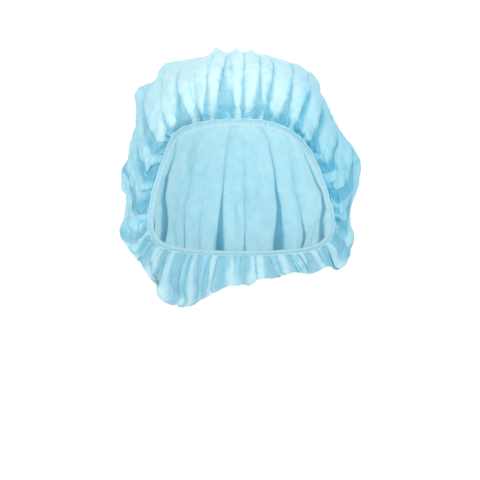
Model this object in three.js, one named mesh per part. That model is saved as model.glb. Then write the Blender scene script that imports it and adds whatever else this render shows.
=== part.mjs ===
// A disposable bouffant cap, kept in the form that it has on the head.
//
// It is one disc of thin nonwoven cloth whose edge is gathered onto a loop of flat elastic. The loop
// crosses the forehead, comes down in front of the ears and passes round the nape. The cloth covers the
// top of the head, stands out round the ears in puffs, and hangs behind the nape as a slack bag.
//
// Millimetres. X is to the wearer's left, Y to the back and Z up. The origin is the point inside the
// crown where the top of the head touches it.
import * as THREE from "three";

// The elastic's loop, seen from above, and how far the cap reaches down from the top of the head.
const LOOP_HALF_WIDTH = 80;
const LOOP_HALF_LENGTH = 82;
const LOOP_CENTRE = -13; // along Y: the loop lies forward of the top of the head
const CAP_DROP = 220;
const CROWN_SET_BACK = 92; // from the loop's centre back to the middle of the cloth

// The hem that holds the elastic, and the cloth.
const HEM_WIDTH = 5.5;
const HEM_THICKNESS = 2;
const CLOTH_WALL = 1.1;
const SEAM_GAP = 0.3; // between the hem and the crown's edge

// Gathers run up from the hem and join, two by two, into folds that run on over the crown.
const GATHERS = 30;
const GATHER_DEPTH = 3;
const FOLD_DEPTH = 5;
const PUFF_HEIGHT = 10;

const COLUMNS_PER_GATHER = 3;
const CROWN_ROWS = 16;
const TOP_ROW = 0.96; // how far up the last whole row lies, where 1 is the middle of the cloth
const ROW_CROWDING = 1.25;
const HEM_STEPS = 96;

// The hem's edge next to the face, a row for each direction. turn is in degrees, from the forehead (0)
// past the wearer's left ear (90) to the nape (180). out is a share of the loop's half sizes, down a
// share of CAP_DROP, and lean the hem's slope in degrees: 0 stands up, 90 lies flat and points outward.
const HEM_EDGE = [
  { turn: 0, out: 1.0, down: 0.29, lean: -14 },
  { turn: 15, out: 0.99, down: 0.295, lean: -10 },
  { turn: 30, out: 0.96, down: 0.32, lean: 6 },
  { turn: 45, out: 0.93, down: 0.365, lean: 35 },
  { turn: 60, out: 0.93, down: 0.44, lean: 70 },
  { turn: 75, out: 0.97, down: 0.57, lean: 88 },
  { turn: 90, out: 1.0, down: 0.66, lean: 98 },
  { turn: 105, out: 1.0, down: 0.72, lean: 106 },
  { turn: 120, out: 0.97, down: 0.755, lean: 118 },
  { turn: 150, out: 0.93, down: 0.775, lean: 128 },
  { turn: 180, out: 0.92, down: 0.78, lean: 132 },
  { turn: 210, out: 0.9, down: 0.775, lean: 130 },
  { turn: 240, out: 0.93, down: 0.755, lean: 122 },
  { turn: 255, out: 0.97, down: 0.72, lean: 106 },
  { turn: 270, out: 0.97, down: 0.65, lean: 98 },
  { turn: 285, out: 0.94, down: 0.53, lean: 88 },
  { turn: 300, out: 0.9, down: 0.4, lean: 65 },
  { turn: 315, out: 0.93, down: 0.33, lean: 30 },
  { turn: 330, out: 0.97, down: 0.305, lean: 2 },
  { turn: 345, out: 0.99, down: 0.293, lean: -11 },
];

// The crown's smooth form, a row for each direction, in four rings above the hem: hang, where the cloth
// hangs lowest, belly, where it is widest, shoulder and top. The shares are as above.
const CROWN_SECTIONS = [
  { turn: 0, hangOut: 1.09, hangDown: 0.2, bellyOut: 1.19, bellyDown: 0.06,
    shoulderOut: 1.0, shoulderDown: -0.015, topOut: 0.5, topDown: -0.03 },
  { turn: 30, hangOut: 1.08, hangDown: 0.25, bellyOut: 1.22, bellyDown: 0.1,
    shoulderOut: 0.94, shoulderDown: 0.01, topOut: 0.5, topDown: -0.027 },
  { turn: 60, hangOut: 1.13, hangDown: 0.44, bellyOut: 1.2, bellyDown: 0.27,
    shoulderOut: 0.88, shoulderDown: 0.12, topOut: 0.45, topDown: 0.005 },
  { turn: 90, hangOut: 1.19, hangDown: 0.68, bellyOut: 1.27, bellyDown: 0.45,
    shoulderOut: 0.92, shoulderDown: 0.2, topOut: 0.46, topDown: 0.045 },
  { turn: 108, hangOut: 1.25, hangDown: 0.8, bellyOut: 1.28, bellyDown: 0.52,
    shoulderOut: 0.94, shoulderDown: 0.24, topOut: 0.45, topDown: 0.08 },
  { turn: 120, hangOut: 1.24, hangDown: 0.84, bellyOut: 1.3, bellyDown: 0.56,
    shoulderOut: 0.96, shoulderDown: 0.27, topOut: 0.44, topDown: 0.11 },
  { turn: 150, hangOut: 1.2, hangDown: 0.87, bellyOut: 1.35, bellyDown: 0.61,
    shoulderOut: 1.0, shoulderDown: 0.31, topOut: 0.42, topDown: 0.17 },
  { turn: 180, hangOut: 1.2, hangDown: 0.92, bellyOut: 1.37, bellyDown: 0.64,
    shoulderOut: 1.0, shoulderDown: 0.33, topOut: 0.42, topDown: 0.19 },
  { turn: 210, hangOut: 1.22, hangDown: 0.98, bellyOut: 1.35, bellyDown: 0.64,
    shoulderOut: 1.02, shoulderDown: 0.31, topOut: 0.44, topDown: 0.17 },
  { turn: 240, hangOut: 1.17, hangDown: 0.91, bellyOut: 1.24, bellyDown: 0.59,
    shoulderOut: 1.03, shoulderDown: 0.24, topOut: 0.5, topDown: 0.1 },
  { turn: 255, hangOut: 1.22, hangDown: 0.8, bellyOut: 1.23, bellyDown: 0.54,
    shoulderOut: 1.04, shoulderDown: 0.19, topOut: 0.52, topDown: 0.06 },
  { turn: 270, hangOut: 1.18, hangDown: 0.67, bellyOut: 1.25, bellyDown: 0.48,
    shoulderOut: 1.05, shoulderDown: 0.15, topOut: 0.54, topDown: 0.03 },
  { turn: 300, hangOut: 1.13, hangDown: 0.4, bellyOut: 1.22, bellyDown: 0.25,
    shoulderOut: 1.0, shoulderDown: 0.06, topOut: 0.56, topDown: -0.01 },
  { turn: 330, hangOut: 1.08, hangDown: 0.24, bellyOut: 1.22, bellyDown: 0.1,
    shoulderOut: 0.98, shoulderDown: 0.005, topOut: 0.53, topDown: -0.025 },
];

// Where each ring lies: up is its share of the way from the hem to the cloth's middle, and back the share
// of CROWN_SET_BACK by which its centre has moved to the back.
const RINGS = [
  { name: "hang", up: 0.2, back: 0.0 },
  { name: "belly", up: 0.45, back: 0.16 },
  { name: "shoulder", up: 0.72, back: 0.5 },
  { name: "top", up: 0.88, back: 0.92 },
];
const MIDDLE_DOWN = 0.045; // the middle of the cloth, as a share of CAP_DROP

// Puffs that stand out of the smooth form, and hollows where height is negative. turn and up say where,
// height is a share of PUFF_HEIGHT, and halfTurn and halfUp say how far each reaches.
const PUFFS = [
  { turn: 268, up: 0.42, height: 0.8, halfTurn: 14, halfUp: 0.08 },
  { turn: 266, up: 0.31, height: -0.4, halfTurn: 14, halfUp: 0.05 },
  { turn: 258, up: 0.2, height: 0.8, halfTurn: 12, halfUp: 0.09 },
  { turn: 88, up: 0.44, height: 0.6, halfTurn: 14, halfUp: 0.1 },
  { turn: 110, up: 0.2, height: 0.5, halfTurn: 10, halfUp: 0.09 },
  { turn: 296, up: 0.62, height: 0.6, halfTurn: 12, halfUp: 0.1 },
  { turn: 338, up: 0.64, height: 0.45, halfTurn: 9, halfUp: 0.09 },
  { turn: 4, up: 0.62, height: 0.35, halfTurn: 8, halfUp: 0.09 },
  { turn: 44, up: 0.6, height: 0.5, halfTurn: 10, halfUp: 0.09 },
  { turn: 66, up: 0.55, height: 0.4, halfTurn: 9, halfUp: 0.09 },
  { turn: 150, up: 0.4, height: 0.6, halfTurn: 16, halfUp: 0.14 },
  { turn: 206, up: 0.3, height: 0.6, halfTurn: 16, halfUp: 0.12 },
  { turn: 180, up: 0.5, height: -0.7, halfTurn: 12, halfUp: 0.16 },
];

// The main creases, where the cloth folds inward. Each runs from turn at the hem to endTurn, over the
// stretch from start to end of the way up. depth is a share of FOLD_DEPTH and halfTurn half its width.
const CREASES = [
  { turn: 352, endTurn: 346, start: 0.05, end: 0.75, depth: 1.0, halfTurn: 6 },
  { turn: 8, endTurn: 16, start: 0.05, end: 0.6, depth: 0.7, halfTurn: 5 },
  { turn: 24, endTurn: 34, start: 0.05, end: 0.7, depth: 0.8, halfTurn: 6 },
  { turn: 52, endTurn: 66, start: 0.1, end: 0.72, depth: 1.0, halfTurn: 7 },
  { turn: 74, endTurn: 92, start: 0.15, end: 0.6, depth: 0.9, halfTurn: 7 },
  { turn: 100, endTurn: 108, start: 0.2, end: 0.7, depth: 1.2, halfTurn: 8 },
  { turn: 128, endTurn: 136, start: 0.2, end: 0.7, depth: 1.0, halfTurn: 8 },
  { turn: 166, endTurn: 160, start: 0.2, end: 0.74, depth: 1.3, halfTurn: 9 },
  { turn: 192, endTurn: 190, start: 0.2, end: 0.64, depth: 1.0, halfTurn: 8 },
  { turn: 222, endTurn: 226, start: 0.2, end: 0.74, depth: 1.2, halfTurn: 9 },
  { turn: 250, endTurn: 244, start: 0.22, end: 0.6, depth: 0.9, halfTurn: 7 },
  { turn: 282, endTurn: 270, start: 0.15, end: 0.66, depth: 1.0, halfTurn: 7 },
  { turn: 305, endTurn: 290, start: 0.1, end: 0.72, depth: 1.0, halfTurn: 6 },
  { turn: 328, endTurn: 318, start: 0.05, end: 0.7, depth: 0.9, halfTurn: 6 },
];

// The value of a table's column at a turn, on a smooth closed curve through its rows.
function around(table, column, turn) {
  const count = table.length;
  const row = (index) => table[(index + count) % count];
  const turnOf = (index) => row(index).turn + 360 * Math.floor(index / count);
  const wanted = ((turn % 360) + 360) % 360;
  const from = table.findLastIndex((entry) => entry.turn <= wanted);
  const to = from + 1;
  const span = turnOf(to) - turnOf(from);
  const slope = (i) => (span * (row(i + 1)[column] - row(i - 1)[column])) / (turnOf(i + 1) - turnOf(i - 1));
  return hermite((wanted - turnOf(from)) / span, row(from)[column], row(to)[column], slope(from), slope(to));
}

// A cubic curve from one value to the next, with its slope at both ends.
function hermite(share, from, to, slopeFrom, slopeTo) {
  const square = share * share;
  const cube = square * share;
  const rise = 3 * square - 2 * cube;
  return from + (to - from) * rise + slopeFrom * (cube - 2 * square + share) + slopeTo * (cube - square);
}

// A point of the cap from its turn, its shares out and down, and how far back its ring's centre lies.
function place(turn, out, down, back) {
  const angle = THREE.MathUtils.degToRad(turn);
  return new THREE.Vector3(
    LOOP_HALF_WIDTH * out * Math.sin(angle),
    LOOP_CENTRE + CROWN_SET_BACK * back - LOOP_HALF_LENGTH * out * Math.cos(angle),
    -CAP_DROP * down,
  );
}

// The hem's frame at a turn: its edge next to the face, the direction across its width towards the cloth,
// and the direction out through its thickness, away from the head.
function hemFrame(turn) {
  const edgeAt = (t) => place(t, around(HEM_EDGE, "out", t), around(HEM_EDGE, "down", t), 0);
  const edge = edgeAt(turn);
  const along = edgeAt(turn + 1).sub(edgeAt(turn - 1)).normalize();
  const angle = THREE.MathUtils.degToRad(turn);
  const lean = THREE.MathUtils.degToRad(around(HEM_EDGE, "lean", turn));
  const across = new THREE.Vector3(Math.sin(angle), -Math.cos(angle), 0).multiplyScalar(Math.sin(lean));
  across.z = Math.cos(lean);
  across.addScaledVector(along, -across.dot(along)).normalize();
  const outward = new THREE.Vector3().crossVectors(along, across);
  return { edge, across, outward };
}

// Where the crown's cloth leaves the hem: past its far edge, in line with the middle of its thickness.
function crownEdge(turn) {
  const { edge, across, outward } = hemFrame(turn);
  const middleOfHem = (HEM_THICKNESS + CLOTH_WALL) / 2;
  return edge.addScaledVector(across, HEM_WIDTH + SEAM_GAP).addScaledVector(outward, middleOfHem);
}

// The point of a ring of the crown's smooth form at a turn.
function ringPoint(ring, turn) {
  const out = around(CROWN_SECTIONS, `${ring.name}Out`, turn);
  const down = around(CROWN_SECTIONS, `${ring.name}Down`, turn);
  return place(turn, out, down, ring.back);
}

// A point of the crown's smooth form, at a turn and a share up of the way from the hem to the middle.
// It leaves the hem in line with the hem's width. Past the middle the curve runs on down the opposite
// side, which makes the top smooth.
function formPoint(turn, up) {
  const rings = RINGS.map((ring) => ({ up: ring.up, point: ringPoint(ring, turn) }));
  const edge = crownEdge(turn);
  const stride = 2 * edge.distanceTo(rings[0].point);
  const before = rings[0].point.clone().addScaledVector(hemFrame(turn).across, -stride);
  const top = RINGS.at(-1);
  const curve = [
    { up: -rings[0].up, point: before },
    { up: 0, point: edge },
    ...rings,
    { up: 1, point: place(0, 0, MIDDLE_DOWN, 1) },
    { up: 2 - top.up, point: ringPoint(top, turn + 180) },
  ];
  const from = Math.min(curve.findLastIndex((knot) => knot.up <= up), curve.length - 3);
  const to = from + 1;
  const span = curve[to].up - curve[from].up;
  const slope = (i, axis) =>
    (span * (curve[i + 1].point[axis] - curve[i - 1].point[axis])) / (curve[i + 1].up - curve[i - 1].up);
  const [x, y, z] = ["x", "y", "z"].map((axis) => {
    const [low, high] = [curve[from].point[axis], curve[to].point[axis]];
    return hermite((up - curve[from].up) / span, low, high, slope(from, axis), slope(to, axis));
  });
  return new THREE.Vector3(x, y, z);
}

const smoothstep = (from, to, value) => THREE.MathUtils.smoothstep(value, from, to);

// The shortest way from one turn to another, in degrees from -180 to 180.
const turnBetween = (from, to) => ((((to - from) % 360) + 540) % 360) - 180;

// A sharp wave from -1 to 1, one for each whole step of its phase.
const zigzag = (phase) => 1 - 4 * Math.abs(phase - Math.floor(phase) - 0.5);

// How far the folds lift the cloth out of the smooth form. The gathers are strongest just above the hem
// and stand mostly outward. The wider folds that they join into are strongest half way up.
function lift(turn, up) {
  const phase = (turn * GATHERS) / 360;
  const uneven = 0.75 + 0.25 * Math.sin(2.4 * Math.floor(phase));
  const wander = 0.15 * Math.sin(THREE.MathUtils.degToRad(3 * turn));
  const gathers = smoothstep(0, 0.08, up) * (1 - smoothstep(0.12, 0.42, up));
  const folds = smoothstep(0.1, 0.32, up) * (1 - smoothstep(0.5, 0.85, up));
  let height = GATHER_DEPTH * uneven * gathers * (0.65 * zigzag(phase) + 0.35);
  height += (FOLD_DEPTH / 2) * folds * zigzag(phase / 2 + wander);
  for (const puff of PUFFS) {
    const sideways = turnBetween(puff.turn, turn) / puff.halfTurn;
    const upward = (up - puff.up) / puff.halfUp;
    height += PUFF_HEIGHT * puff.height * Math.exp(-(sideways ** 2) - upward ** 2);
  }
  for (const crease of CREASES) {
    const line = THREE.MathUtils.lerp(crease.turn, crease.endTurn, up);
    const sideways = Math.abs(turnBetween(line, turn)) / crease.halfTurn;
    const begun = smoothstep(crease.start, crease.start + 0.15, up);
    const ended = smoothstep(crease.end - 0.2, crease.end, up);
    height -= FOLD_DEPTH * crease.depth * Math.max(0, 1 - sideways) * begun * (1 - ended);
  }
  return height;
}

// The direction straight out of the smooth form.
function formNormal(turn, up) {
  const step = 0.002;
  const alongTurn = formPoint(turn + 1, up).sub(formPoint(turn - 1, up));
  const alongUp = formPoint(turn, up + step).sub(formPoint(turn, Math.max(up - step, 0)));
  return alongTurn.cross(alongUp).normalize();
}

function crownPoint(turn, up) {
  return formPoint(turn, up).addScaledVector(formNormal(turn, up), lift(turn, up));
}

// The height of a row of the crown's grid. The rows lie closer together in the gathers by the hem.
const rowHeight = (row) => TOP_ROW * (row / (CROWN_ROWS - 1)) ** ROW_CROWDING;

// The crown's outer surface: rows of points round the form, and the middle of the cloth as a last point.
function outerSkin() {
  const columns = GATHERS * COLUMNS_PER_GATHER;
  const positions = [];
  const index = [];
  for (let row = 0; row < CROWN_ROWS; row += 1) {
    for (let column = 0; column < columns; column += 1) {
      positions.push(...crownPoint((360 * column) / columns, rowHeight(row)).toArray());
      const a = row * columns + column;
      const b = row * columns + ((column + 1) % columns);
      if (row === CROWN_ROWS - 1) index.push(a, b, CROWN_ROWS * columns);
      else index.push(a, b, b + columns, a, b + columns, a + columns);
    }
  }
  positions.push(...formPoint(0, 1).toArray());
  const skin = new THREE.BufferGeometry();
  skin.setAttribute("position", new THREE.Float32BufferAttribute(positions, 3));
  skin.setIndex(index);
  skin.computeVertexNormals();
  return { skin, columns };
}

// The crown as a closed wall: the outer skin, the same skin set in by the wall and turned over, and the
// strip along the gathered edge that joins them. The strip stands square on the hem.
function crownGeometry() {
  const { skin, columns } = outerSkin();
  const outer = Array.from(skin.getAttribute("position").array);
  const normals = skin.getAttribute("normal").array;
  for (let column = 0; column < columns; column += 1) {
    hemFrame((360 * column) / columns).outward.toArray(normals, 3 * column);
  }
  const inner = outer.map((value, i) => value - CLOTH_WALL * normals[i]);
  const faces = Array.from(skin.getIndex().array);
  const inside = outer.length / 3;
  const index = [...faces];
  for (let i = 0; i < faces.length; i += 3) {
    index.push(inside + faces[i], inside + faces[i + 2], inside + faces[i + 1]);
  }
  for (let column = 0; column < columns; column += 1) {
    const next = (column + 1) % columns;
    index.push(column, inside + column, inside + next, column, inside + next, next);
  }
  return meshGeometry([...outer, ...inner], index);
}

// The hem: a flat band with chamfered edges, carried round the loop and closed on itself.
function hemGeometry() {
  const chamfer = HEM_THICKNESS / 4;
  const section = [
    { across: chamfer, outward: HEM_THICKNESS },
    { across: HEM_WIDTH - chamfer, outward: HEM_THICKNESS },
    { across: HEM_WIDTH, outward: HEM_THICKNESS - chamfer },
    { across: HEM_WIDTH, outward: chamfer },
    { across: HEM_WIDTH - chamfer, outward: 0 },
    { across: chamfer, outward: 0 },
    { across: 0, outward: chamfer },
    { across: 0, outward: HEM_THICKNESS - chamfer },
  ];
  const positions = [];
  const index = [];
  for (let step = 0; step < HEM_STEPS; step += 1) {
    const { edge, across, outward } = hemFrame((360 * step) / HEM_STEPS);
    const next = (step + 1) % HEM_STEPS;
    section.forEach((corner, k) => {
      const point = edge.clone().addScaledVector(across, corner.across);
      positions.push(...point.addScaledVector(outward, corner.outward).toArray());
      const after = (k + 1) % section.length;
      const [a, b] = [step * section.length + k, next * section.length + k];
      const [c, d] = [next * section.length + after, step * section.length + after];
      index.push(a, b, c, a, c, d);
    });
  }
  return meshGeometry(positions, index);
}

function meshGeometry(positions, index) {
  const geometry = new THREE.BufferGeometry();
  geometry.setAttribute("position", new THREE.Float32BufferAttribute(positions, 3));
  geometry.setIndex(index);
  geometry.computeVertexNormals();
  return geometry;
}

const nonwoven = new THREE.MeshStandardMaterial({ color: 0x9fdcf2, roughness: 0.85 });
const serging = new THREE.MeshStandardMaterial({ color: 0xbfe6f4, roughness: 0.9 });

const crown = new THREE.Mesh(crownGeometry(), nonwoven);
crown.name = "crown";

const hem = new THREE.Mesh(hemGeometry(), serging);
hem.name = "elastic_hem";

const group = new THREE.Group();
group.add(crown, hem);

export default group;
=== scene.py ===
import math

import bpy
import numpy as np
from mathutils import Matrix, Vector


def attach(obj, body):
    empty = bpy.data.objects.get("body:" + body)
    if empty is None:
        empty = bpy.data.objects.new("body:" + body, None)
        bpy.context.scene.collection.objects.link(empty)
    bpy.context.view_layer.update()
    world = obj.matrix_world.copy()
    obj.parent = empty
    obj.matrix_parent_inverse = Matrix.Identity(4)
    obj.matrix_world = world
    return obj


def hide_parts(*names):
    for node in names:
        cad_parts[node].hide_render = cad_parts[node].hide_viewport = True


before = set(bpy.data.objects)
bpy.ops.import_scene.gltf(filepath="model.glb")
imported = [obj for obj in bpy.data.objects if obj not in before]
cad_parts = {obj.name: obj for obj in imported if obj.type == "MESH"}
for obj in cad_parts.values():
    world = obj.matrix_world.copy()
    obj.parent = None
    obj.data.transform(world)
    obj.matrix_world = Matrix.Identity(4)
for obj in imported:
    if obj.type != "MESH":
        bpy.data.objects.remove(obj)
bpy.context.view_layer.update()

# The camera stands straight in front of the cap, a little below its middle, and looks level at it.
CAMERA_DISTANCE = 2.0  # metres in front of the origin
CAMERA_HEIGHT = -0.162
FIELD_WIDTH = 0.432  # metres that the picture shows across at the origin
SENSOR_WIDTH = 36.0

camera_data = bpy.data.cameras.new("camera")
camera_data.sensor_width = SENSOR_WIDTH
camera_data.lens = SENSOR_WIDTH * CAMERA_DISTANCE / FIELD_WIDTH
camera = bpy.data.objects.new("camera", camera_data)
camera.location = (0.0, -CAMERA_DISTANCE, CAMERA_HEIGHT)
camera.rotation_euler = (math.pi / 2, 0.0, 0.0)
bpy.context.scene.collection.objects.link(camera)
bpy.context.scene.camera = camera

# The crown: one disc of thin blue spunbond cloth, cut about 530 mm across. Its edge is gathered to under
# half its length on the elastic, so the cloth leaves the hem in crowded pleats. They end one by one on the
# way up, and above them it stands in crisp puffs with a few long creases.
DISC_RADIUS = 0.265
LOOP_HALF_WIDTH = 0.080
LOOP_HALF_LENGTH = 0.082
LOOP_CENTRE = -0.013
CAP_DROP = 0.220
CROWN_SET_BACK = 0.092  # how far the crown's middle lies behind the loop's
HEM_WIDTH = 0.0055
HEM_THICKNESS = 0.002
CLOTH_WALL = 0.0003
MIDDLE_DOWN = 0.045  # the middle of the disc, as a share of CAP_DROP
FORM_WALL = 0.0011  # the wall whose middle the cloth follows where it leaves the hem
SEAM_GAP = 0.0003


def table(names, *rows):
    """A table with named columns, a row for each section, puff or crease."""
    return np.rec.fromrecords([tuple(float(value) for value in row) for row in rows], names=names)


# The hem's inner edge. turn is in degrees from the front (0) round by +X (90) and the back (180). out is a
# share of the loop's half sizes, down a share of CAP_DROP, and lean the hem's slope in degrees.
HEM_EDGE = table(
    "turn, out, down, lean",
    (0, 1.0, 0.29, -14), (15, 0.99, 0.295, -10), (30, 0.96, 0.32, 6), (45, 0.93, 0.365, 35),
    (60, 0.93, 0.44, 70), (75, 0.97, 0.57, 88), (90, 1.0, 0.66, 98), (105, 1.0, 0.72, 106),
    (120, 0.97, 0.755, 118), (150, 0.93, 0.775, 128), (180, 0.92, 0.78, 132), (210, 0.9, 0.775, 130),
    (240, 0.93, 0.755, 122), (255, 0.97, 0.72, 106), (270, 0.97, 0.65, 98), (285, 0.94, 0.53, 88),
    (300, 0.9, 0.4, 65), (315, 0.93, 0.33, 30), (330, 0.97, 0.305, 2), (345, 0.99, 0.293, -11),
)

# The crown's smooth form in four rings above the hem: hang, belly, shoulder and top.
CROWN_SECTIONS = table(
    "turn, hang_out, hang_down, belly_out, belly_down, shoulder_out, shoulder_down, top_out, top_down",
    (0, 1.09, 0.2, 1.19, 0.06, 1.0, -0.015, 0.5, -0.03),
    (30, 1.08, 0.25, 1.22, 0.1, 0.94, 0.01, 0.5, -0.027),
    (60, 1.13, 0.44, 1.2, 0.27, 0.88, 0.12, 0.45, 0.005),
    (90, 1.19, 0.68, 1.27, 0.45, 0.92, 0.2, 0.46, 0.045),
    (108, 1.25, 0.8, 1.28, 0.52, 0.94, 0.24, 0.45, 0.08),
    (120, 1.24, 0.84, 1.3, 0.56, 0.96, 0.27, 0.44, 0.11),
    (150, 1.2, 0.87, 1.35, 0.61, 1.0, 0.31, 0.42, 0.17),
    (180, 1.2, 0.92, 1.37, 0.64, 1.0, 0.33, 0.42, 0.19),
    (210, 1.22, 0.98, 1.35, 0.64, 1.02, 0.31, 0.44, 0.17),
    (240, 1.17, 0.91, 1.24, 0.59, 1.03, 0.24, 0.5, 0.1),
    (255, 1.22, 0.8, 1.23, 0.54, 1.04, 0.19, 0.52, 0.06),
    (270, 1.18, 0.67, 1.25, 0.48, 1.05, 0.15, 0.54, 0.03),
    (300, 1.13, 0.4, 1.22, 0.25, 1.0, 0.06, 0.56, -0.01),
    (330, 1.08, 0.24, 1.22, 0.1, 0.98, 0.005, 0.53, -0.025),
)

# Each ring's share of the way up to the cloth's middle, and its share of CROWN_SET_BACK.
RINGS = {"hang": (0.2, 0.0), "belly": (0.45, 0.16), "shoulder": (0.72, 0.5), "top": (0.88, 0.92)}


def hermite(share, start, end, start_slope, end_slope):
    """A cubic curve from start to end that leaves and arrives with the slopes given."""
    square = share * share
    cube = square * share
    rise = 3 * square - 2 * cube
    leaving = cube - 2 * square + share
    arriving = cube - square
    return start + (end - start) * rise + start_slope * leaving + end_slope * arriving


def around(rows, column, turn):
    """The value of a table's column at each turn, on a smooth closed curve through its rows."""
    turns = np.concatenate([rows.turn[-2:] - 360, rows.turn, rows.turn[:2] + 360])
    values = np.concatenate([rows[column][-2:], rows[column], rows[column][:2]])
    slopes = np.zeros_like(values)
    slopes[1:-1] = (values[2:] - values[:-2]) / (turns[2:] - turns[:-2])
    turn = np.mod(turn, 360)
    row = np.searchsorted(turns, turn, side="right") - 1
    span = turns[row + 1] - turns[row]
    share = (turn - turns[row]) / span
    return hermite(share, values[row], values[row + 1], slopes[row] * span, slopes[row + 1] * span)


def place(turn, out, down, back):
    """A point on an ellipse of the loop's half sizes times out, set back and lowered by its shares."""
    angle = np.radians(turn)
    x = LOOP_HALF_WIDTH * out * np.sin(angle)
    y = LOOP_CENTRE + CROWN_SET_BACK * back - LOOP_HALF_LENGTH * out * np.cos(angle)
    return np.stack([x, y, -CAP_DROP * down * np.ones_like(angle)], axis=-1)


def unit(vectors):
    """Each vector divided by its length."""
    return vectors / np.linalg.norm(vectors, axis=-1, keepdims=True)


def hem_edge(turn):
    """The hem's inner edge at each turn."""
    return place(turn, around(HEM_EDGE, "out", turn), around(HEM_EDGE, "down", turn), 0.0)


def hem_frame(turn):
    """The hem's inner edge, the direction across its width and the one out through its thickness.

    The first direction is the hem's lean, made square to the edge, and the second is their cross product.
    """
    along = unit(hem_edge(turn + 1) - hem_edge(turn - 1))
    angle = np.radians(turn)
    lean = np.radians(around(HEM_EDGE, "lean", turn))
    across = np.stack([np.sin(angle) * np.sin(lean), -np.cos(angle) * np.sin(lean), np.cos(lean)], axis=-1)
    across = unit(across - along * (across * along).sum(axis=-1, keepdims=True))
    return hem_edge(turn), across, np.cross(along, across)


def ring(name, turn):
    """The points of one of the crown's rings at each turn."""
    out = around(CROWN_SECTIONS, f"{name}_out", turn)
    down = around(CROWN_SECTIONS, f"{name}_down", turn)
    return place(turn, out, down, RINGS[name][1])


def form(turn, up):
    """The crown's smooth form: a cubic curve from the hem up through the four rings to the middle.

    Its slope at each ring is that of the line between the rings on both sides of it. A point before the hem
    makes it leave in line with the band, and the top ring's far side leads it flat over the middle.
    """
    turn, up = (values.ravel() for values in np.broadcast_arrays(np.asarray(turn, float), up))
    edge, across, outward = hem_frame(turn)
    edge = edge + across * (HEM_WIDTH + SEAM_GAP) + outward * (HEM_THICKNESS + FORM_WALL) / 2
    rings = [ring(name, turn) for name in RINGS]
    before = rings[0] - across * 2 * np.linalg.norm(edge - rings[0], axis=-1, keepdims=True)
    points = np.stack([before, edge, *rings, place(turn, 0.0, MIDDLE_DOWN, 1.0), ring("top", turn + 180)])
    ups = [share for share, _ in RINGS.values()]
    knots = np.array([-ups[0], 0.0, *ups, 1.0, 2 - ups[-1]])
    knot = np.clip(np.searchsorted(knots, up, side="right") - 1, 1, len(knots) - 3)
    each = np.arange(len(turn))

    def slope(at):
        """The curve's slope at a knot, from the points before and after it."""
        return (points[at + 1, each] - points[at - 1, each]) / (knots[at + 1] - knots[at - 1])[:, None]

    span = (knots[knot + 1] - knots[knot])[:, None]
    share = (up - knots[knot])[:, None] / span
    start, end = points[knot, each], points[knot + 1, each]
    return hermite(share, start, end, slope(knot) * span, slope(knot + 1) * span)


NORMAL_STEP = 0.002


def form_normal(turn, up):
    """The smooth form's outward direction, square to the lines through the points beside and above."""
    along = form(turn + 1, up) - form(turn - 1, up)
    upward = form(turn, np.minimum(up + NORMAL_STEP, 1)) - form(turn, np.maximum(up - NORMAL_STEP, 0))
    return unit(np.cross(along, upward))


# Puffs that stand out of the smooth form, and hollows where height, a share of PUFF_HEIGHT, is negative.
PUFF_HEIGHT = 0.010
PUFFS = table(
    "turn, up, height, half_turn, half_up",
    (268, 0.42, 0.8, 14, 0.08), (266, 0.31, -0.4, 14, 0.05), (258, 0.2, 0.8, 12, 0.09),
    (88, 0.44, 0.6, 14, 0.1), (110, 0.2, 0.5, 10, 0.09), (296, 0.62, 0.6, 12, 0.1),
    (338, 0.64, 0.1, 9, 0.09), (4, 0.62, 0.35, 8, 0.09), (44, 0.6, 0.85, 10, 0.09),
    (66, 0.55, 0.4, 9, 0.09), (150, 0.4, 0.6, 16, 0.14), (206, 0.3, 0.6, 16, 0.12),
    (180, 0.5, -0.7, 12, 0.16),
    (301, 0.73, 0.8, 8, 0.05), (290, 0.7, -0.6, 7, 0.05), (326, 0.76, -0.55, 12, 0.08),
    (30, 0.74, -0.45, 12, 0.07), (281, 0.58, -0.6, 8, 0.05), (62, 0.52, -0.55, 7, 0.05),
    (249, 0.19, -0.7, 13, 0.08), (262, 0.33, 0.3, 8, 0.06), (240, 0.18, -0.4, 10, 0.08),
    (218, 0.19, 0.85, 9, 0.06), (102, 0.33, -0.5, 10, 0.06), (350, 0.79, -0.25, 9, 0.05),
    (343, 0.77, 0.5, 3, 0.03), (3, 0.7, -0.3, 10, 0.06),
    (72, 0.52, -0.5, 8, 0.06), (9, 0.78, 0.4, 3, 0.03), (357, 0.78, 0.4, 2.5, 0.03),
    (282, 0.42, -0.55, 8, 0.06), (278, 0.39, -0.3, 5, 0.05), (271, 0.47, 0.6, 7, 0.035),
    (263, 0.39, -0.8, 7, 0.03), (262, 0.29, 0.45, 8, 0.04), (260, 0.245, 0.3, 7, 0.035),
    (243, 0.15, 0.35, 8, 0.06), (294, 0.63, 0.5, 6, 0.035), (302, 0.7, -0.25, 8, 0.05),
    (230, 0.18, 0.35, 7, 0.045),
)


def turn_between(start, end):
    """The shortest way from one turn to another, in degrees from -180 to 180."""
    return np.mod(end - start + 180, 360) - 180


def smoothstep(low, high, value):
    """0 below low, 1 above high, and the curve 3s^2 - 2s^3 between them."""
    share = np.clip((value - low) / (high - low), 0, 1)
    return share * share * (3 - 2 * share)


def puffed(turn, up):
    """The lift of all puffs, each a bell curve exp(-x^2 - y^2) round its middle."""
    lift = np.zeros(turn.shape)
    for puff in PUFFS:
        sideways = turn_between(puff.turn, turn) / puff.half_turn
        upward = (up - puff.up) / puff.half_up
        lift += PUFF_HEIGHT * puff.height * np.exp(-(sideways ** 2) - upward ** 2)
    return lift


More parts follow.
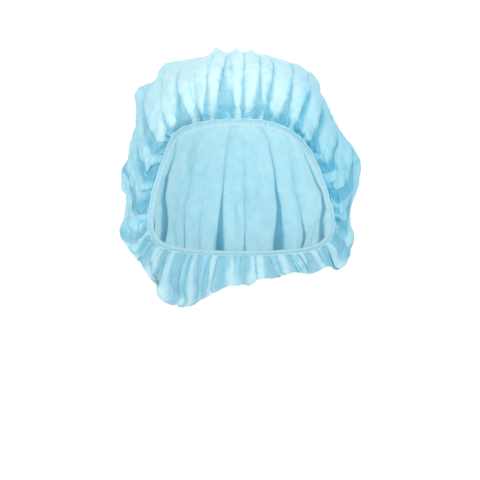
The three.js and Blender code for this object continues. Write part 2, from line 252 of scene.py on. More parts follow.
# The long pleats, which run on as creases nearly to the top. Each leaves the hem at turn and heads for
# end_turn at the middle. reach is where it ends, half_turn half its width, side which way it laps, lap how
# far, and deep its share of LONG_DEPTH.
LONG_PLEATS = table(
    "turn, end_turn, reach, half_turn, side, lap, deep",
    (348, 356, 0.66, 5.4, 1, 1.25, 1.0), (355.5, 358, 0.45, 3.0, -1, 1.0, 0.5),
    (1.5, 3, 0.66, 3.2, 1, 1.0, 0.7), (9.5, 12, 0.6, 4.6, -1, 1.25, 0.8),
    (16, 20, 0.82, 3.2, 1, 1.0, 0.5), (24.5, 34, 0.62, 4.6, -1, 1.25, 0.9),
    (35.5, 41, 0.66, 4.2, 1, 1.1, 0.6), (46.5, 53, 0.66, 5.0, 1, 1.25, 0.9),
    (58, 70, 0.7, 4.8, -1, 1.1, 0.8), (72, 86, 0.66, 5.5, 1, 1.2, 1.0),
    (87, 98, 0.55, 5.0, 1, 1.1, 0.7), (101, 110, 0.74, 6.0, -1, 1.2, 1.0),
    (116, 122, 0.5, 5.0, 1, 1.1, 0.7), (130, 138, 0.8, 6.0, -1, 1.2, 1.0),
    (146, 151, 0.55, 5.2, 1, 1.1, 0.7), (162, 158, 0.84, 6.5, 1, 1.2, 1.1),
    (177, 178, 0.55, 5.0, -1, 1.1, 0.6), (192, 188, 0.76, 6.0, -1, 1.2, 1.0),
    (207, 210, 0.55, 5.2, 1, 1.1, 0.7), (222, 226, 0.84, 6.5, 1, 1.2, 1.0),
    (237, 234, 0.55, 5.0, -1, 1.1, 0.7), (252, 243, 0.7, 5.5, -1, 1.2, 0.9),
    (266, 255, 0.52, 5.0, 1, 1.1, 0.7), (280, 268, 0.76, 5.5, 1, 1.2, 0.9),
    (294, 281, 0.62, 4.6, -1, 1.1, 0.7), (306, 296, 0.74, 5.4, -1, 1.25, 1.1),
    (317, 310, 0.52, 3.8, 1, 1.0, 0.6), (327, 322, 0.64, 5.0, -1, 1.25, 0.9),
    (334, 338, 0.4, 3.0, -1, 1.0, 0.5), (340, 348, 0.62, 2.8, 1, 1.05, 0.6),
)
LONG_DEPTH = 0.0046

# The short pleats by the hem, set evenly round it and then shifted and varied by chance.
SHORT_COUNT = 96
SHORT_DEPTH = 0.0022
SHORT_REACHES = (0.14, 0.2, 0.3, 0.42)
chance = np.random.default_rng(27)
short_turns = np.arange(SHORT_COUNT) * 360 / SHORT_COUNT
SHORT_PLEATS = table(
    "turn, end_turn, reach, half_turn, side, lap, deep",
    *np.column_stack([
        short_turns + chance.uniform(-1.1, 1.1, SHORT_COUNT),
        short_turns + chance.uniform(-7, 7, SHORT_COUNT),
        chance.choice(SHORT_REACHES, SHORT_COUNT) * chance.uniform(0.8, 1.15, SHORT_COUNT),
        chance.uniform(1.7, 2.6, SHORT_COUNT),
        chance.choice([-1, 1], SHORT_COUNT),
        chance.uniform(0.9, 1.35, SHORT_COUNT),
        np.ones(SHORT_COUNT),
    ]),
)

# How a pleat changes on the way up. The pairs are shares of its reach between which that part fades out.
PLEAT_WIDENS = 0.5  # how much wider it would be at the crown's middle
FULL_DEPTH_UP = 0.13  # the share up where it is as deep as it gets
LAP_AT_HEM = 0.55
STACK_AT_HEM = 0.25
STACK_SHARE = 0.35  # how high folded layers stand, as a share of the pleat's depth
FOLDED_LAPS = (0.3, 0.8)  # from an open groove to layers that lie over each other
CLOSED_GROOVE = 0.6  # how much shallower the groove is where the layers close it
GROOVE_FADES = (0.6, 1.35)
STACK_FADES = (0.1, 0.9)
CREASE_FADES = (1.0, 1.45)
FOLD_SCALE = 3.494  # brings the highest value of x(1 - x^2)^2 to 1
GROOVE_POWER = 2.2
CREASE_POWER = 8
# How dark the painted shade along each pleat's groove line is.
GROOVE_PAINTED_SHADE = 0.8
LAYERS_WIDTH = 0.85  # how wide the deeper colour over the layers is, for each lap past LAYERS_START
LAYERS_START = 0.33
LAYERS_EDGE = 0.12


def pleat(row, depth, turn, up):
    """How far one pleat lifts the cloth, shifts it sideways in degrees, and how much it layers it, with
    painted shade along its groove.

    Across the pleat, x runs from -1 to 1. The cloth is shifted by x(1 - x^2)^2, so far that it folds back
    under itself, and raised on one side and sunk on the other by the same curve. A sharp groove
    (1 - |x|)^2.2 runs along the middle, with painted shade (1 - |x|)^8 along its line. The shift shrinks
    evenly on the way up, so the layers lie over each other in a wedge that ends in a point, and only the
    groove's line and its painted shade run on.
    """
    line = row.turn + (row.end_turn - row.turn) * up
    half = row.half_turn * (1 + PLEAT_WIDENS * up)
    x = turn_between(line, turn) / half
    inside = np.abs(x) < 1
    x = np.where(inside, x, 1.0)
    wave = FOLD_SCALE * x * (1 - x * x) ** 2
    height = up / row.reach
    opened = np.clip(up / FULL_DEPTH_UP, 0, 1)
    lap = row.lap * np.clip(1 - height, 0, 1) * (LAP_AT_HEM + (1 - LAP_AT_HEM) * opened)
    closed = 1 - CLOSED_GROOVE * smoothstep(*FOLDED_LAPS, lap)
    groove = depth * row.deep * opened * closed * (1 - smoothstep(*GROOVE_FADES, height))
    stack = STACK_SHARE * depth * row.deep * (STACK_AT_HEM + (1 - STACK_AT_HEM) * opened)
    stack = stack * (1 - smoothstep(*STACK_FADES, height))
    lift = row.side * stack * wave - groove * (1 - np.abs(x)) ** GROOVE_POWER
    seen = np.abs(x - lap * wave)
    layers = smoothstep(-LAYERS_EDGE, LAYERS_EDGE, LAYERS_WIDTH * (lap - LAYERS_START) - seen)
    # Painted shade along the groove's middle line.
    crease = GROOVE_PAINTED_SHADE * (1 - np.abs(x)) ** CREASE_POWER * (1 - smoothstep(*CREASE_FADES, height))
    return lift, -half * lap * wave, np.where(inside, np.maximum(layers, crease), 0.0)


def pleated(turn, up):
    """All pleats together: their lifts and sideways shifts added up, and the strongest mark of layering and
    painted groove shade of any.
    """
    lift, shift, layers_and_groove_shade = np.zeros((3, *turn.shape))
    for rows, depth in ((LONG_PLEATS, LONG_DEPTH), (SHORT_PLEATS, SHORT_DEPTH)):
        for row in rows:
            one_lift, one_shift, one_layers_and_groove_shade = pleat(row, depth, turn, up)
            lift += one_lift
            shift += one_shift
            layers_and_groove_shade = np.maximum(layers_and_groove_shade, one_layers_and_groove_shade)
    return lift, shift, layers_and_groove_shade


def zigzag(phase):
    """A sharp wave from -1 to 1, one for each whole step of its phase."""
    return 1 - 4 * np.abs(phase - np.floor(phase) - 0.5)


# Creases from the time when the cap lay folded and packed: large flat facets, and smaller ones on them.
# Of each size, drawn waves are chosen by chance. Each has low_waves to high_waves facets round the cap, and
# they turn by up to slant facets on the way up.
FACETS = table(
    "drawn, low_waves, high_waves, slant, height, seed",
    (6, 8, 15, 4.0, 0.0022, 4), (8, 18, 32, 8.0, 0.0008, 9), (9, 38, 66, 18.0, 0.00025, 12),
)
FACET_BEND = 0.12
FACET_PATCH = (-0.4, 0.6)


def facets(turn, up):
    """Long flat facets with sharp edges: zigzag waves of the turn and of the way up, bent by a sine.

    They show in patches, where the product of two sines, one of the turn and one of the way up, is high.
    """
    height = np.zeros(turn.shape)
    for size in FACETS:
        chosen = np.random.default_rng(int(size.seed))
        for _ in range(int(size.drawn)):
            waves = chosen.integers(int(size.low_waves), int(size.high_waves))
            slant = size.slant * chosen.uniform(-1, 1)
            phase = chosen.uniform(0, 1, 4)
            bent = FACET_BEND * np.sin(2 * math.pi * (2 * up + 3 * turn / 360 + phase[0]))
            wave = zigzag(waves * turn / 360 + slant * up + bent + phase[1])
            patch = np.sin(2 * math.pi * (waves // 2 * turn / 360 + phase[2]))
            patch = patch * np.sin(2 * math.pi * (0.5 * abs(slant) * up + phase[3]))
            height += size.height * smoothstep(*FACET_PATCH, patch) * wave
    return height


# Over the middle the disc isn't gathered, and its facets run straight across it. heading is in degrees.
TOP_FACETS = table(
    "length, height, heading, phase",
    (0.075, 0.0020, 20, 0.1), (0.058, 0.0016, 78, 0.4), (0.047, 0.0012, 131, 0.7),
    (0.031, 0.0007, 52, 0.2), (0.036, 0.0006, 160, 0.9),
)
TOP_BEND = 0.15


def top_facets(flat_x, flat_y):
    """Straight zigzag waves across the flat disc, each bent a little by a sine along its ridges."""
    height = np.zeros(flat_x.shape)
    for row in TOP_FACETS:
        heading = math.radians(row.heading)
        ahead = (flat_x * math.cos(heading) + flat_y * math.sin(heading)) / row.length
        beside = (flat_y * math.cos(heading) - flat_x * math.sin(heading)) / row.length
        height += row.height * zigzag(ahead + row.phase + TOP_BEND * np.sin(4 * beside))
    return height


# Thin straight creases between the pleats, each from a turn and share up to another. Each is sunk a little
# into the cloth and darkened with painted shade.
CREASES = table(
    "turn, up, end_turn, end_up",
    (344.5, 0.41, 338.5, 0.36), (338.5, 0.36, 341, 0.18), (332, 0.43, 338, 0.28), (350.5, 0.38, 354, 0.56),
    (350.5, 0.38, 345, 0.16), (352, 0.37, 358, 0.19), (352.5, 0.45, 10, 0.4), (10, 0.4, 16.5, 0.42),
    (16.5, 0.42, 16, 0.51), (4, 0.39, 1.5, 0.33), (15, 0.31, 14.5, 0.14), (37.5, 0.4, 36.5, 0.3),
    (36.5, 0.3, 30, 0.08), (50.5, 0.4, 42.5, 0.18), (292, 0.71, 315, 0.32), (315, 0.32, 317, 0.19),
    (326.5, 0.37, 323, 0.19), (293, 0.41, 308, 0.18), (277.5, 0.53, 292, 0.2), (275.5, 0.28, 270, 0.05),
    (83.5, 0.45, 58.5, 0.18), (86, 0.04, 79, 0.26), (79, 0.26, 88.5, 0.42),
)
METRES_PER_TURN = 0.0016  # how wide a degree is on the outer cloth
CREASE_HALF_WIDTH = 0.0021
CREASE_DEPTH = 0.0007
CREASE_WEAKENS = 0.6  # from its start to its end


def creases(turn, up):
    """How strongly a crease marks each point: 1 on its line at the start, and 0 half its width away."""
    mark = np.zeros(turn.shape)
    for row in CREASES:
        across = turn_between(row.turn, turn) * METRES_PER_TURN
        upward = (up - row.up) * DISC_RADIUS
        end_across = turn_between(row.turn, row.end_turn) * METRES_PER_TURN
        end_upward = (row.end_up - row.up) * DISC_RADIUS
        length = np.hypot(end_across, end_upward)
        share = np.clip((across * end_across + upward * end_upward) / length ** 2, 0, 1)
        away = np.hypot(across - share * end_across, upward - share * end_upward)
        near = 1 - np.clip(away / CREASE_HALF_WIDTH, 0, 1)
        mark = np.maximum(mark, near * (1 - CREASE_WEAKENS * share))
    return mark


# How strongly the facets show, over the front and from the sides round the back, and between which shares
# up they come and go.
FRONT_CRUMPLE = 0.45
FRONT_ENDS = (20, 85)  # degrees to each side
CRUMPLE_STARTS = (0.0, 0.2)
CRUMPLE_ENDS = (0.6, 0.88)
TOP_STARTS = (0.62, 0.85)


def beside_front(turn):
    """0 in front, 1 from the sides round the back, and a smooth rise between."""
    return smoothstep(*FRONT_ENDS, np.abs(turn_between(0, turn)))


def crumpled(turn, up, flat_x, flat_y):
    """The lift of the facets: the long ones fade out on the way up, where those of the top fade in."""
    strength = FRONT_CRUMPLE + (1 - FRONT_CRUMPLE) * beside_front(turn)
    strength = strength * smoothstep(*CRUMPLE_STARTS, up) * (1 - smoothstep(*CRUMPLE_ENDS, up))
    return facets(turn, up) * strength + top_facets(flat_x, flat_y) * smoothstep(*TOP_STARTS, up)


# How deep the cloth's colour is at each turn: least in front, most at the +X side. It is partly the cloth
# that lies behind the outer layer and partly painted light and shade, a pale front and painted shade round
# the sides.
LAYERS_AND_SIDE_SHADE = table(
    "turn, dense",
    (0, 0.04), (20, 0.1), (40, 0.3), (60, 0.42), (85, 0.42), (100, 0.26), (120, 0.12), (180, 0.1),
    (225, 0.1), (250, 0.14), (268, 0.28), (285, 0.34), (300, 0.24), (315, 0.12), (340, 0.04),
)

# How far each thing deepens the cloth's colour. A pair is for the front, and for the sides and back.
PLEAT_TONE = (0.46, 0.34)
HEM_TONE = (0.25, 0.08)
# Painted shade along the thin creases.
CREASE_PAINTED_SHADE = 0.25
BACK_TONE = 0.18
MIDDLE_TONE = 0.15
HEM_TONE_ENDS = (0.0, 0.3)
BACK_STARTS = (110, 150)
BACK_STARTS_UP = (0.2, 0.45)
MIDDLE_STARTS = (0.6, 0.95)


def cloth_tone(turn, up, layers_and_groove_shade, crease):
    """How deep the cloth's colour is, from 0 for one free layer to 1 for many layers over each other.

    The layering of the pleats with painted shade along their grooves, the nearness of the hem, painted shade
    along the creases, the cloth behind the outer layer with painted light and shade round the sides, and the
    thick gathering at the back each add their share. At the middle the last two give way to a share of its
    own.
    """
    beside = beside_front(turn)
    middle = smoothstep(*MIDDLE_STARTS, up)
    pleat_tone, hem_tone = (front + (side - front) * beside for front, side in (PLEAT_TONE, HEM_TONE))
    tone = pleat_tone * layers_and_groove_shade + hem_tone * (1 - smoothstep(*HEM_TONE_ENDS, up))
    back = smoothstep(*BACK_STARTS, np.abs(turn_between(0, turn))) * smoothstep(*BACK_STARTS_UP, up)
    # Painted light and shade round the sides, with the cloth behind the outer layer and the gathering at the
    # back.
    behind = (around(LAYERS_AND_SIDE_SHADE, "dense", turn) + BACK_TONE * back) * (1 - middle)
    return np.clip(tone + CREASE_PAINTED_SHADE * crease + behind + MIDDLE_TONE * middle, 0, 1)


def crown_surface(turn, up):
    """A point of the cloth at each turn and share up, how deep its colour is, and its place on the disc.

    It is the smooth form, with the lifts of the pleats, puffs, facets and creases added along its normal.
    Each pleat's sideways shift is added to the turn first, so layers that are folded over each other share
    the same puffs and facets and lie closely together.
    """
    turn, up = np.broadcast_arrays(np.asarray(turn, float), up)
    lift, shift, layers_and_groove_shade = pleated(turn, up)
    moved = turn + shift
    flat_x = DISC_RADIUS * (1 - up) * np.sin(np.radians(turn))
    flat_y = -DISC_RADIUS * (1 - up) * np.cos(np.radians(turn))
    crease = creases(moved, up)
    lift = lift + puffed(moved, up) + crumpled(moved, up, flat_x, flat_y) - CREASE_DEPTH * crease
    points = form(moved, up) + form_normal(moved, up) * lift.reshape(-1, 1)
    tone = cloth_tone(moved, up, layers_and_groove_shade, crease)
    return points, tone.ravel(), np.column_stack([flat_x.ravel(), flat_y.ravel()])


# The cloth's grid has rows of points round the cap, most of them in the crowded pleats by the hem. Each
# band has half the columns of the one below it: columns, lowest and highest share up, and rows.
BANDS = ((864, 0.0, 0.28, 30), (432, 0.28, 0.7, 42), (216, 0.7, 0.97, 20))


def halving_faces(below, above):
    """Triangles from a ring of points to one with half as many: three for each point of the upper ring."""
    left, middle, right = below[::2], below[1::2], np.roll(below[::2], -1)
    above_right = np.roll(above, -1)
    fans = [(left, middle, above), (middle, above_right, above), (middle, right, above_right)]
    return [face for fan in fans for face in np.column_stack(fan).tolist()]


def ring_faces(index):
    """Four-sided faces between the rows of an index grid whose rows close on themselves."""
    low, high = index[:-1], index[1:]
    corners = [low, np.roll(low, -1, axis=1), np.roll(high, -1, axis=1), high]
    return np.stack(corners, axis=-1).reshape(-1, 4).tolist()


def crown_grid():
    """The outer skin's points, colour depths, places on the disc and faces: three bands and the middle."""
    points, tones, places, faces = [], [], [], []
    placed = 0
    below = None
    for columns, low, high, rows in BANDS:
        turns = np.arange(columns) * 360 / columns
        ups = np.linspace(low, high, rows)[:, None]
        if below is not None:
            ups = ups[1:]  # the band below ends at this one's lowest row
        band_points, band_tones, band_places = crown_surface(turns[None, :], ups)
        points.append(band_points)
        tones.append(band_tones)
        places.append(band_places)
        index = placed + np.arange(len(band_points)).reshape(-1, columns)
        if below is not None:
            faces += halving_faces(below, index[0])
        faces += ring_faces(index)
        below = index[-1]
        placed += len(band_points)
    points.append(form(0.0, 1.0))
    tones.append([0.0])
    places.append([[0.0, 0.0]])
    faces += np.column_stack([below, np.roll(below, -1), np.full(len(below), placed)]).tolist()
    return np.vstack(points), np.concatenate(tones), np.vstack(places), faces


def add_piece(name, points, faces):
    """A new mesh object with smooth faces, at the origin."""
    mesh = bpy.data.meshes.new(name)
    mesh.from_pydata(points.tolist(), [], faces)
    mesh.polygons.foreach_set("use_smooth", np.ones(len(mesh.polygons), bool))
    mesh.validate()
    piece = bpy.data.objects.new(name, mesh)
    bpy.context.scene.collection.objects.link(piece)
    return piece


def mark_points(piece, name, values):
    """Stores a number at each point of a piece, for its material to read."""
    piece.data.attributes.new(name, "FLOAT", "POINT").data.foreach_set("value", values.astype(np.float32))


crown_points, crown_tones, crown_places, crown_faces = crown_grid()
crown = add_piece("crown_cloth", crown_points, crown_faces)
# The colour depth at each point, painted shade along creases and round the sides included.
mark_points(crown, "gathered", crown_tones)
corner_points = np.zeros(len(crown.data.loops), np.int32)
crown.data.loops.foreach_get("vertex_index", corner_points)
flat_corners = (0.5 + crown_places[corner_points]).astype(np.float32)  # the disc's middle is at 0.5, 0.5
crown.data.uv_layers.new(name="flat").data.foreach_set("uv", flat_corners.ravel())
wall = crown.modifiers.new("wall", "SOLIDIFY")
wall.thickness = CLOTH_WALL
wall.offset = -1.0


def new_material(name):
    """An empty node material."""
    material = bpy.data.materials.new(name)
    material.use_nodes = True
    material.node_tree.nodes.clear()
    return material


def add_node(material, kind, inputs, **settings):
    """A new node with its settings, and with each input given a value or linked to another node's socket."""
    node = material.node_tree.nodes.new("ShaderNode" + kind)
    for name, value in settings.items():
        setattr(node, name, value)
    for name, value in inputs.items():
        if isinstance(value, bpy.types.NodeSocket):
            material.node_tree.links.new(value, node.inputs[name])
        else:
            node.inputs[name].default_value = value
    return node


def calculate(material, operation, *values):
    """The result of a Math node on two or three values, each a number or a socket."""
    return add_node(material, "Math", dict(enumerate(values)), operation=operation).outputs["Value"]


def noise(material, where, scale, detail):
    """A noise with about so many grains to the metre."""
    return add_node(material, "TexNoise", {"Vector": where, "Scale": scale, "Detail": detail}).outputs["Fac"]


def between(material, first, second, share):
    """A colour mixed from two, by a socket's share of the second."""
    inputs = {"A": first, "B": second, "Factor": share}
    return add_node(material, "Mix", inputs, data_type="RGBA").outputs["Result"]


def bump(material, height, distance):
    """The surface's direction, tilted by a pattern of fine heights, at half strength."""
    inputs = {"Height": height, "Strength": 0.5, "Distance": distance}
    return add_node(material, "Bump", inputs).outputs["Normal"]


def cover(piece, material, shader):
    """Leads the last shader to the material's output and gives the material to the piece."""
    add_node(material, "OutputMaterial", {"Surface": shader})
    piece.data.materials.append(material)


# The cloth's colour: pale where one layer stands free, deeper where pleats lie over each other, and deeper
# with painted shade along creases and round the sides. Fibres cross it at random, and the web is pressed
# together in rows of small bond points.
PALE_CLOTH = (0.80, 0.93, 0.945, 1.0)
DEEP_CLOTH = (0.10, 0.60, 0.78, 1.0)
CLEAR_CLOTH = (0.93, 0.99, 1.0, 1.0)
CLOUDS_PER_METRE = 130
FIBRES_PER_METRE = 1400
FIBRE_STRETCH = 0.12
FIBRE_HEADINGS = (0.5, 2.1)  # radians
BONDS_PER_METRE = 620
BOND_RADIUS = 0.28  # as a share of the step between bonds
BOND_SCATTER = 0.25
FIBRE_RELIEF = 0.0002
LIGHT_THROUGH = 0.45  # how much of the light the cloth scatters through to its other side
SEEN_THROUGH = 0.2

# How far each pattern changes the depth of the colour. Clouds and streaks leave its mean as it is.
CLOUD_TONE = 0.4
STREAK_TONE = 0.22
BOND_TONE = 0.05

cloth = new_material("spunbond cloth")
on_disc = add_node(cloth, "UVMap", {}, uv_map="flat").outputs["UV"]


def fibres(heading):
    """Long thin streaks across the flat cloth: a noise drawn out along its heading."""
    inputs = {"Vector": on_disc, "Rotation": (0.0, 0.0, heading), "Scale": (1.0, FIBRE_STRETCH, 1.0)}
    turned = add_node(cloth, "Mapping", inputs).outputs["Vector"]
    return noise(cloth, turned, FIBRES_PER_METRE, 2)


clouds = noise(cloth, on_disc, CLOUDS_PER_METRE, 4)
streaks = calculate(cloth, "ADD", *(fibres(heading) for heading in FIBRE_HEADINGS))
bonds = add_node(cloth, "TexVoronoi", {
    "Vector": on_disc, "Scale": BONDS_PER_METRE, "Randomness": BOND_SCATTER,
})
pressed = calculate(cloth, "LESS_THAN", bonds.outputs["Distance"], BOND_RADIUS)
streaked = calculate(cloth, "MULTIPLY_ADD", streaks, STREAK_TONE, -CLOUD_TONE / 2 - STREAK_TONE)
uneven = calculate(cloth, "MULTIPLY_ADD", clouds, CLOUD_TONE, streaked)
# The colour depth from the pleats' layers, with painted shade along creases and round the sides.
gathered = add_node(cloth, "Attribute", {}, attribute_name="gathered").outputs["Fac"]
depth = calculate(cloth, "ADD", gathered, calculate(cloth, "MULTIPLY_ADD", pressed, BOND_TONE, uneven))
cloth_colour = between(cloth, PALE_CLOTH, DEEP_CLOTH, depth)
cloth_relief = bump(cloth, calculate(cloth, "SUBTRACT", streaks, pressed), FIBRE_RELIEF)
outside = add_node(cloth, "BsdfPrincipled", {
    "Base Color": cloth_colour, "Normal": cloth_relief, "Roughness": 0.85, "Specular IOR Level": 0.2,
}).outputs["BSDF"]
glow = add_node(cloth, "BsdfTranslucent", {"Color": cloth_colour}).outputs["BSDF"]
clear = add_node(cloth, "BsdfTransparent", {"Color": CLEAR_CLOTH}).outputs["BSDF"]
scattered = add_node(cloth, "MixShader", {0: LIGHT_THROUGH, 1: outside, 2: glow}).outputs["Shader"]
web = add_node(cloth, "MixShader", {0: SEEN_THROUGH, 1: scattered, 2: clear}).outputs["Shader"]
cover(crown, cloth, web)

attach(crown, "root")
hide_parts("crown")

# The hem: the crown's edge turned over a flat elastic and overlocked to it. The elastic pulls the cloth
# into small puckers, so the band is a little uneven.
HEM_STEPS = 1200
HEM_CORNERS = 16
HEM_INSET = 0.0003  # how far the band lies under the threads that wind round it
HEM_PUCKER = 0.00022
FINE_PUCKERS = 151  # round the whole loop
BROAD_PUCKERS = 83
BROAD_HEIGHT = 0.7  # as a share of the fine ones'
BROAD_PHASE = 1.3


def hem_section(angle, half_width, half_thickness):
    """A flat rounded band: cos of the angle to the power 0.4 across, and sin to the power 0.6 through."""
    def squared(wave, power):
        """The wave to a power below 1, with its sign kept, which squares it up."""
        return np.sign(wave) * np.abs(wave) ** power

    return half_width * squared(np.cos(angle), 0.4), half_thickness * squared(np.sin(angle), 0.6)


def closed_tube(count, sides):
    """The faces of a grid of points whose rows close on themselves, the last row joined to the first."""
    index = np.arange(count * sides).reshape(count, sides)
    ahead = np.roll(index, -1, axis=0)
    corners = [index, ahead, np.roll(ahead, -1, axis=1), np.roll(index, -1, axis=1)]
    return np.stack(corners, axis=-1).reshape(-1, 4)


def on_hem(turn, across_by, outward_by):
    """A point of the hem, so far across its width and so far out through its thickness."""
    edge, across, outward = hem_frame(turn)
    return edge + across * np.asarray(across_by)[..., None] + outward * np.asarray(outward_by)[..., None]


def hem_surface(angle):
    """The band's section carried round the loop, with its thickness changed by two waves for the puckers."""
    turn = np.repeat(np.arange(HEM_STEPS) * 360 / HEM_STEPS, HEM_CORNERS)
    around_loop = np.radians(turn)
    broad = BROAD_HEIGHT * np.sin(around_loop * BROAD_PUCKERS + BROAD_PHASE)
    pucker = HEM_PUCKER * (np.sin(around_loop * FINE_PUCKERS) + broad)
    wide, thick = hem_section(np.tile(angle, HEM_STEPS), HEM_WIDTH / 2, HEM_THICKNESS / 2 - HEM_INSET)
    swell = 1 + pucker / (HEM_THICKNESS / 2)
    return on_hem(turn, HEM_WIDTH / 2 + wide, HEM_THICKNESS / 2 + thick * swell)


corner_angles = np.arange(HEM_CORNERS) * 2 * math.pi / HEM_CORNERS
hem = add_piece("elastic_hem_band", hem_surface(corner_angles), closed_tube(HEM_STEPS, HEM_CORNERS).tolist())
mark_points(hem, "towards_cloth", np.tile(0.5 + 0.5 * np.cos(corner_angles), HEM_STEPS))

# The band is deeper blue by the crown, where three layers lie together, and greyer at its inner edge, where
# the grey is painted shade. The puckers show as fine uneven mottling.
# Painted shade: the grey of the band's inner edge.
HEM_SHADED_EDGE = (0.44, 0.57, 0.61, 1.0)
HEM_DEEP = (0.15, 0.51, 0.66, 1.0)
PUCKERS_PER_METRE = 900
PUCKER_RELIEF = 0.0003
MOTTLING_TONE = 0.6

hem_cloth = new_material("gathered hem")
hem_places = add_node(hem_cloth, "TexCoord", {}).outputs["Object"]
mottling = noise(hem_cloth, hem_places, PUCKERS_PER_METRE, 3)
towards_cloth = add_node(hem_cloth, "Attribute", {}, attribute_name="towards_cloth").outputs["Fac"]
uneven_band = calculate(hem_cloth, "MULTIPLY_ADD", mottling, MOTTLING_TONE, -MOTTLING_TONE / 2)
hem_depth = calculate(hem_cloth, "ADD", towards_cloth, uneven_band)
band = add_node(hem_cloth, "BsdfPrincipled", {
    "Base Color": between(hem_cloth, HEM_SHADED_EDGE, HEM_DEEP, hem_depth),
    "Normal": bump(hem_cloth, mottling, PUCKER_RELIEF), "Roughness": 0.85,
}).outputs["BSDF"]
cover(hem, hem_cloth, band)

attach(hem, "root")
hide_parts("elastic_hem")

# The overlock stitches: pale textured polyester. One thread winds round the band, a second lies in small
# loops along its inner edge, and the needle's thread dips in and out along the edge by the crown.
STITCHES = 300
THREAD_SIDES = 5
RINGS_START = (0.31, 0.17, 0.93)  # each ring's first point lies square to this and to its thread
WOUND_RADIUS = 0.00013
WOUND_STEPS = 14
WOUND_INSET = 0.0002  # how much narrower each half of the winding is than the band's
WOUND_INWARD = 0.0003  # how far its middle lies towards the inner edge
LOOPER_RADIUS = 0.0002
LOOPER_STEPS = 8
LOOPER_FROM_EDGE = 0.00045
LOOPER_ACROSS = 0.0005
LOOPER_THROUGH = 0.0009
NEEDLE_RADIUS = 0.00026
NEEDLE_STEPS = 6
NEEDLE_FROM_EDGE = 0.0004
NEEDLE_PROUD = 0.0001
NEEDLE_DIP = 0.0003
NEEDLE_WANDER = 0.0003
WANDERS = 37  # round the whole loop
WOUND_THREAD = (0.38, 0.61, 0.68, 1.0)
NEEDLE_THREAD = (0.66, 0.87, 0.92, 1.0)


def thread(path, radius):
    """A closed thread: a ring of points round each point of the path, square to the path's direction."""
    along = unit(np.roll(path, -1, axis=0) - np.roll(path, 1, axis=0))
    side = unit(np.cross(along, np.array(RINGS_START)))
    over = np.cross(along, side)
    angle = np.arange(THREAD_SIDES) * 2 * math.pi / THREAD_SIDES
    ring_points = np.cos(angle)[None, :, None] * side[:, None] + np.sin(angle)[None, :, None] * over[:, None]
    return (path[:, None] + radius * ring_points).reshape(-1, 3)


def stitch_steps(steps):
    """The turn round the loop and the angle within its stitch, at so many steps for each stitch."""
    step = np.arange(STITCHES * steps)
    return step * 360 / len(step), step * 2 * math.pi / steps


def wound_path():
    """The winding thread: the band's section, walked round once for each stitch."""
    turn, angle = stitch_steps(WOUND_STEPS)
    wide, thick = hem_section(angle, HEM_WIDTH / 2 - WOUND_INSET, HEM_THICKNESS / 2)
    return on_hem(turn, HEM_WIDTH / 2 + wide - WOUND_INWARD, HEM_THICKNESS / 2 + thick)


def looper_path():
    """The looping thread: small ovals along the band's inner edge, one for each stitch."""
    turn, angle = stitch_steps(LOOPER_STEPS)
    through = HEM_THICKNESS / 2 + LOOPER_THROUGH * np.sin(angle)
    return on_hem(turn, LOOPER_FROM_EDGE + LOOPER_ACROSS * np.cos(angle), through)


def needle_path():
    """The needle's thread: a wave in and out through the edge by the crown, which wanders a little."""
    turn, angle = stitch_steps(NEEDLE_STEPS)
    wander = NEEDLE_WANDER * np.sin(np.radians(turn) * WANDERS)
    dips = HEM_THICKNESS + NEEDLE_PROUD + NEEDLE_DIP * np.cos(angle)
    return on_hem(turn, HEM_WIDTH - NEEDLE_FROM_EDGE + wander, dips)


# Each thread's path, its radius, and how white it is.
THREADS = (
    (wound_path(), WOUND_RADIUS, 0.0),
    (looper_path(), LOOPER_RADIUS, 0.6),
    (needle_path(), NEEDLE_RADIUS, 1.0),
)
thread_points = np.vstack([thread(path, radius) for path, radius, _ in THREADS])
first_points = THREAD_SIDES * np.cumsum([0] + [len(path) for path, _, _ in THREADS])
thread_faces = np.vstack([
    first + closed_tube(len(path), THREAD_SIDES) for first, (path, _, _) in zip(first_points, THREADS)
])
stitches = add_piece("overlock_stitches", thread_points, thread_faces.tolist())
whiteness = np.concatenate([np.full(THREAD_SIDES * len(path), white) for path, _, white in THREADS])
mark_points(stitches, "whiteness", whiteness)

FUZZ_PER_METRE = 4000
FUZZ_TONE = 0.4

yarn = new_material("pale polyester thread")
yarn_places = add_node(yarn, "TexCoord", {}).outputs["Object"]
grains = noise(yarn, yarn_places, FUZZ_PER_METRE, 2)
fuzz = calculate(yarn, "MULTIPLY_ADD", grains, FUZZ_TONE, -FUZZ_TONE / 2)
white_share = add_node(yarn, "Attribute", {}, attribute_name="whiteness").outputs["Fac"]
yarn_colour = between(yarn, WOUND_THREAD, NEEDLE_THREAD, calculate(yarn, "ADD", white_share, fuzz))
strand = add_node(yarn, "BsdfPrincipled", {"Base Color": yarn_colour, "Roughness": 0.6}).outputs["BSDF"]
cover(stitches, yarn, strand)

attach(stitches, "root")

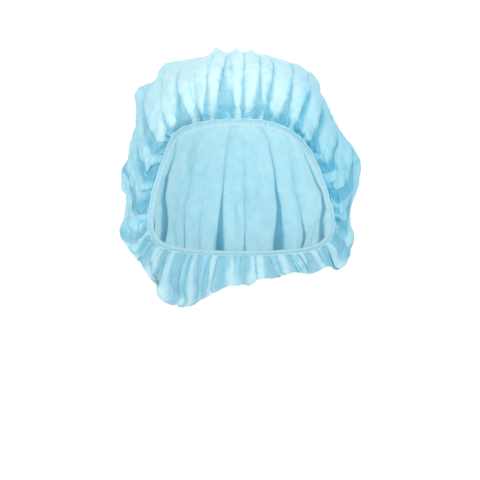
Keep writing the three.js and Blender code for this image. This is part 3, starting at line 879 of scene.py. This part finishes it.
# The stage: a wide sheet of white paper that lies flat and curves up behind, a white sky and three soft
# lights. The paper lies well below the cap, so that its hollow can be seen from low down too.
PAPER_DOWN = -1.2
PAPER_HALF_WIDTH = 6.0
PAPER_FRONT = -6.0
BEND_START = 2.0
BEND_RADIUS = 2.4
BEND_ROWS = 24
PAPER_WHITE = (0.95, 0.95, 0.95, 1.0)
SKY_WHITE = (1.0, 1.0, 1.0, 1.0)
SKY_STRENGTH = 1.06

bend = np.linspace(0, math.pi / 2, BEND_ROWS)
run = np.append(PAPER_FRONT, BEND_START + BEND_RADIUS * np.sin(bend))
rise = PAPER_DOWN + np.append(0, BEND_RADIUS * (1 - np.cos(bend)))
paper_side = np.column_stack([np.full(len(run), PAPER_HALF_WIDTH), run, rise])
strip = np.arange(len(run) - 1)
paper_faces = np.column_stack([strip, strip + 1, strip + 1 + len(run), strip + len(run)])
floor = add_piece("floor", np.vstack([paper_side, paper_side * (-1, 1, 1)]), paper_faces.tolist())
white_paper = new_material("white paper")
matt = add_node(white_paper, "BsdfPrincipled", {"Base Color": PAPER_WHITE, "Roughness": 0.9})
cover(floor, white_paper, matt.outputs["BSDF"])

world = bpy.data.worlds.new("sky")
world.use_nodes = True
sky = world.node_tree.nodes["Background"]
sky.inputs["Color"].default_value = SKY_WHITE
sky.inputs["Strength"].default_value = SKY_STRENGTH
bpy.context.scene.world = world


def add_light(name, location, aim, size, power):
    """A square soft light at location that shines towards aim."""
    data = bpy.data.lights.new(name, "AREA")
    data.size = size
    data.energy = power
    light = bpy.data.objects.new(name, data)
    light.location = location
    light.rotation_euler = (Vector(aim) - Vector(location)).to_track_quat("-Z", "Y").to_euler()
    bpy.context.scene.collection.objects.link(light)


add_light("key", location=(0.35, -1.3, 0.7), aim=(0.0, 0.0, -0.1), size=0.8, power=6.0)
add_light("front", location=(-0.4, -1.6, -0.6), aim=(0.0, 0.0, -0.14), size=0.9, power=9.0)
add_light("back", location=(0.2, 1.3, 0.5), aim=(0.0, 0.0, -0.1), size=0.8, power=4.0)

bpy.context.scene.view_settings.view_transform = "Standard"
